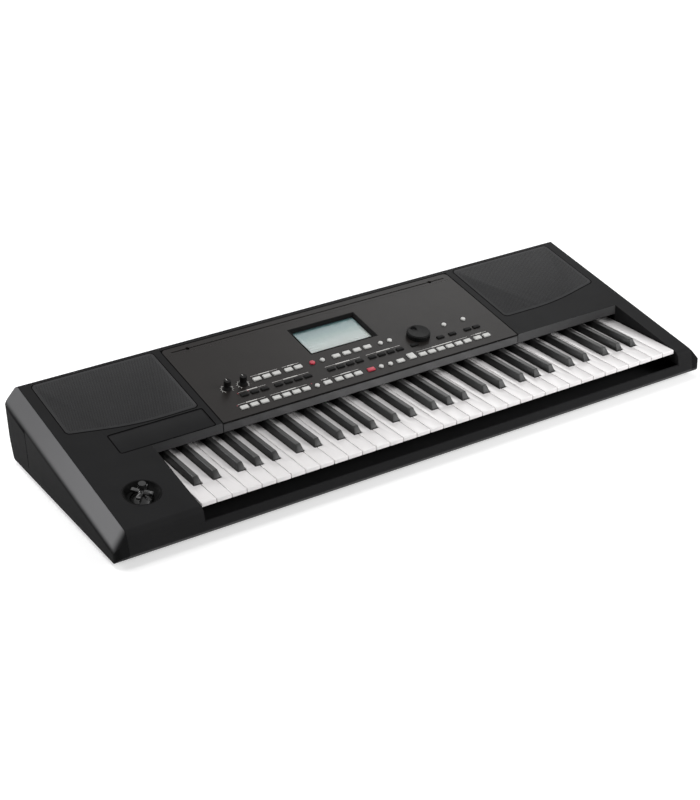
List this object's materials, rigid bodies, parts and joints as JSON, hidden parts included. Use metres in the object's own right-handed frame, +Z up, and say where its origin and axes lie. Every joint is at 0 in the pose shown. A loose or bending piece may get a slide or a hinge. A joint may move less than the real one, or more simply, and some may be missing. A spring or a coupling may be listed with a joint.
{
  "type": "arranger keyboard",
  "caption": "Portable arranger keyboard with full-size piano keys, sloping control panel with display, dial and button rows, joystick, two speakers and rear sockets.",
  "frame": {"origin": "on the table under the middle of the case", "axes": "+X along the keys to the player's right, +Y from the player to the back, +Z up"},
  "size_m": [1.03, 0.3826, 0.1226],
  "materials": {
    "case_shell": "fine moulded grain",
    "fascia_plastic": "satin moulded",
    "panel_plastic": "satin, screen printed",
    "grille_metal": "satin paint",
    "basket_metal": "satin paint",
    "cone_paper": "pressed paper",
    "circuit_board": "solder mask",
    "component_plastic": "moulded",
    "knob_plastic": "satin moulded",
    "white_button": "satin moulded",
    "dark_button": "satin moulded",
    "red_button": "satin moulded",
    "bezel_plastic": "polished",
    "display_glass": "clear",
    "display_panel": "backlit film",
    "ivory_key": "polished",
    "ebony_key": "satin",
    "steel_sheet": "plated",
    "stop_felt": "felt",
    "contact_rubber": "moulded"
  },
  "bodies": {
    "case": {"upper_case": "case_shell", "lower_case": "case_shell", "left_end_cap": "case_shell", "right_end_cap": "case_shell", "front_fascia": "fascia_plastic", "name_plate": "fascia_plastic", "music_rest_rail": "fascia_plastic", "control_panel": "panel_plastic", "left_speaker_grille": "grille_metal", "right_speaker_grille": "grille_metal", "speaker_baskets": "basket_metal", "speaker_cones": "cone_paper", "panel_board": "circuit_board", "key_contact_board": "circuit_board", "main_board": "circuit_board", "amplifier_board": "circuit_board", "panel_switches": "component_plastic", "rotary_controls": "component_plastic", "audio_jacks": "component_plastic", "power_inlet": "component_plastic", "rear_jack_plate": "component_plastic", "joystick_base": "component_plastic", "display_bezel": "bezel_plastic", "joystick_cup": "bezel_plastic", "display_window": "display_glass", "display_module": "display_panel", "keybed_chassis": "steel_sheet", "key_springs": "steel_sheet", "usb_sockets": "steel_sheet", "case_screws": "steel_sheet", "key_stop_felts": "stop_felt", "key_contact_strips": "contact_rubber", "rubber_feet": "contact_rubber"},
    "c_keys": {"c_keys": "ivory_key"},
    "c_sharp_keys": {"c_sharp_keys": "ebony_key"},
    "d_keys": {"d_keys": "ivory_key"},
    "d_sharp_keys": {"d_sharp_keys": "ebony_key"},
    "e_keys": {"e_keys": "ivory_key"},
    "f_keys": {"f_keys": "ivory_key"},
    "f_sharp_keys": {"f_sharp_keys": "ebony_key"},
    "g_keys": {"g_keys": "ivory_key"},
    "g_sharp_keys": {"g_sharp_keys": "ebony_key"},
    "a_keys": {"a_keys": "ivory_key"},
    "a_sharp_keys": {"a_sharp_keys": "ebony_key"},
    "b_keys": {"b_keys": "ivory_key"},
    "style_buttons": {"style_buttons": "white_button"},
    "sequencer_buttons": {"sequencer_buttons": "white_button"},
    "part_buttons": {"part_buttons": "white_button"},
    "ensemble_buttons": {"ensemble_buttons": "white_button"},
    "page_buttons": {"page_buttons": "white_button"},
    "style_bank_buttons": {"style_bank_buttons": "dark_button"},
    "sound_bank_buttons": {"sound_bank_buttons": "dark_button"},
    "round_buttons": {"round_buttons": "white_button"},
    "red_buttons": {"red_buttons": "red_button"},
    "value_dial": {"value_dial": "knob_plastic"},
    "volume_knob": {"volume_knob": "knob_plastic"},
    "balance_knob": {"balance_knob": "knob_plastic"},
    "joystick_gimbal": {"joystick_gimbal": "knob_plastic"},
    "joystick_stick": {"joystick_stick": "knob_plastic"},
    "power_button": {"power_button": "knob_plastic"}
  },
  "joints": [
    {"name": "c_press", "type": "hinge", "parent": "case", "child": "c_keys", "pos_m": [0, 0.045, 0.0478], "axis": [1, 0, 0], "range_deg": [0, 2.56], "stiffness_Nm_per_rad": 3, "springref_deg": -11.46},
    {"name": "c_sharp_press", "type": "hinge", "parent": "case", "child": "c_sharp_keys", "pos_m": [0, 0.045, 0.0478], "axis": [1, 0, 0], "range_deg": [0, 2.56], "stiffness_Nm_per_rad": 3, "springref_deg": -11.46},
    {"name": "d_press", "type": "hinge", "parent": "case", "child": "d_keys", "pos_m": [0, 0.045, 0.0478], "axis": [1, 0, 0], "range_deg": [0, 2.56], "stiffness_Nm_per_rad": 3, "springref_deg": -11.46},
    {"name": "d_sharp_press", "type": "hinge", "parent": "case", "child": "d_sharp_keys", "pos_m": [0, 0.045, 0.0478], "axis": [1, 0, 0], "range_deg": [0, 2.56], "stiffness_Nm_per_rad": 3, "springref_deg": -11.46},
    {"name": "e_press", "type": "hinge", "parent": "case", "child": "e_keys", "pos_m": [0, 0.045, 0.0478], "axis": [1, 0, 0], "range_deg": [0, 2.56], "stiffness_Nm_per_rad": 3, "springref_deg": -11.46},
    {"name": "f_press", "type": "hinge", "parent": "case", "child": "f_keys", "pos_m": [0, 0.045, 0.0478], "axis": [1, 0, 0], "range_deg": [0, 2.56], "stiffness_Nm_per_rad": 3, "springref_deg": -11.46},
    {"name": "f_sharp_press", "type": "hinge", "parent": "case", "child": "f_sharp_keys", "pos_m": [0, 0.045, 0.0478], "axis": [1, 0, 0], "range_deg": [0, 2.56], "stiffness_Nm_per_rad": 3, "springref_deg": -11.46},
    {"name": "g_press", "type": "hinge", "parent": "case", "child": "g_keys", "pos_m": [0, 0.045, 0.0478], "axis": [1, 0, 0], "range_deg": [0, 2.56], "stiffness_Nm_per_rad": 3, "springref_deg": -11.46},
    {"name": "g_sharp_press", "type": "hinge", "parent": "case", "child": "g_sharp_keys", "pos_m": [0, 0.045, 0.0478], "axis": [1, 0, 0], "range_deg": [0, 2.56], "stiffness_Nm_per_rad": 3, "springref_deg": -11.46},
    {"name": "a_press", "type": "hinge", "parent": "case", "child": "a_keys", "pos_m": [0, 0.045, 0.0478], "axis": [1, 0, 0], "range_deg": [0, 2.56], "stiffness_Nm_per_rad": 3, "springref_deg": -11.46},
    {"name": "a_sharp_press", "type": "hinge", "parent": "case", "child": "a_sharp_keys", "pos_m": [0, 0.045, 0.0478], "axis": [1, 0, 0], "range_deg": [0, 2.56], "stiffness_Nm_per_rad": 3, "springref_deg": -11.46},
    {"name": "b_press", "type": "hinge", "parent": "case", "child": "b_keys", "pos_m": [0, 0.045, 0.0478], "axis": [1, 0, 0], "range_deg": [0, 2.56], "stiffness_Nm_per_rad": 3, "springref_deg": -11.46},
    {"name": "style_push", "type": "slide", "parent": "case", "child": "style_buttons", "axis": [0, 0.1904, -0.9817], "range_m": [0, 0.0008], "stiffness_N_per_m": 800, "springref_m": -0.001},
    {"name": "sequencer_push", "type": "slide", "parent": "case", "child": "sequencer_buttons", "axis": [0, 0.1904, -0.9817], "range_m": [0, 0.0008], "stiffness_N_per_m": 800, "springref_m": -0.001},
    {"name": "part_push", "type": "slide", "parent": "case", "child": "part_buttons", "axis": [0, 0.1904, -0.9817], "range_m": [0, 0.0008], "stiffness_N_per_m": 800, "springref_m": -0.001},
    {"name": "ensemble_push", "type": "slide", "parent": "case", "child": "ensemble_buttons", "axis": [0, 0.1904, -0.9817], "range_m": [0, 0.0008], "stiffness_N_per_m": 800, "springref_m": -0.001},
    {"name": "page_push", "type": "slide", "parent": "case", "child": "page_buttons", "axis": [0, 0.1904, -0.9817], "range_m": [0, 0.0008], "stiffness_N_per_m": 800, "springref_m": -0.001},
    {"name": "style_bank_push", "type": "slide", "parent": "case", "child": "style_bank_buttons", "axis": [0, 0.1904, -0.9817], "range_m": [0, 0.0008], "stiffness_N_per_m": 800, "springref_m": -0.001},
    {"name": "sound_bank_push", "type": "slide", "parent": "case", "child": "sound_bank_buttons", "axis": [0, 0.1904, -0.9817], "range_m": [0, 0.0008], "stiffness_N_per_m": 800, "springref_m": -0.001},
    {"name": "round_push", "type": "slide", "parent": "case", "child": "round_buttons", "axis": [0, 0.1904, -0.9817], "range_m": [0, 0.0008], "stiffness_N_per_m": 800, "springref_m": -0.001},
    {"name": "red_push", "type": "slide", "parent": "case", "child": "red_buttons", "axis": [0, 0.1904, -0.9817], "range_m": [0, 0.0008], "stiffness_N_per_m": 800, "springref_m": -0.001},
    {"name": "dial_turn", "type": "hinge", "parent": "case", "child": "value_dial", "pos_m": [0.1188, 0.03431, 0.09494], "axis": [0, -0.1904, 0.9817], "continuous": true},
    {"name": "volume_turn", "type": "hinge", "parent": "case", "child": "volume_knob", "pos_m": [-0.22105, 0.03994, 0.09603], "axis": [0, -0.1904, 0.9817], "range_deg": [-140, 140]},
    {"name": "balance_turn", "type": "hinge", "parent": "case", "child": "balance_knob", "pos_m": [-0.19391, 0.03994, 0.09603], "axis": [0, -0.1904, 0.9817], "range_deg": [-140, 140]},
    {"name": "joystick_sideways", "type": "hinge", "parent": "case", "child": "joystick_gimbal", "pos_m": [-0.4398, -0.11513, 0.0415], "axis": [0, 0.9817, 0.1904], "range_deg": [-14, 14], "stiffness_Nm_per_rad": 0.15},
    {"name": "joystick_lengthways", "type": "hinge", "parent": "joystick_gimbal", "child": "joystick_stick", "pos_m": [-0.4398, -0.11513, 0.0415], "axis": [1, 0, 0], "range_deg": [-14, 14], "stiffness_Nm_per_rad": 0.15},
    {"name": "power_push", "type": "slide", "parent": "case", "child": "power_button", "axis": [0, -1, 0], "range_m": [0, 0.0025], "stiffness_N_per_m": 400, "springref_m": -0.002}
  ]
}
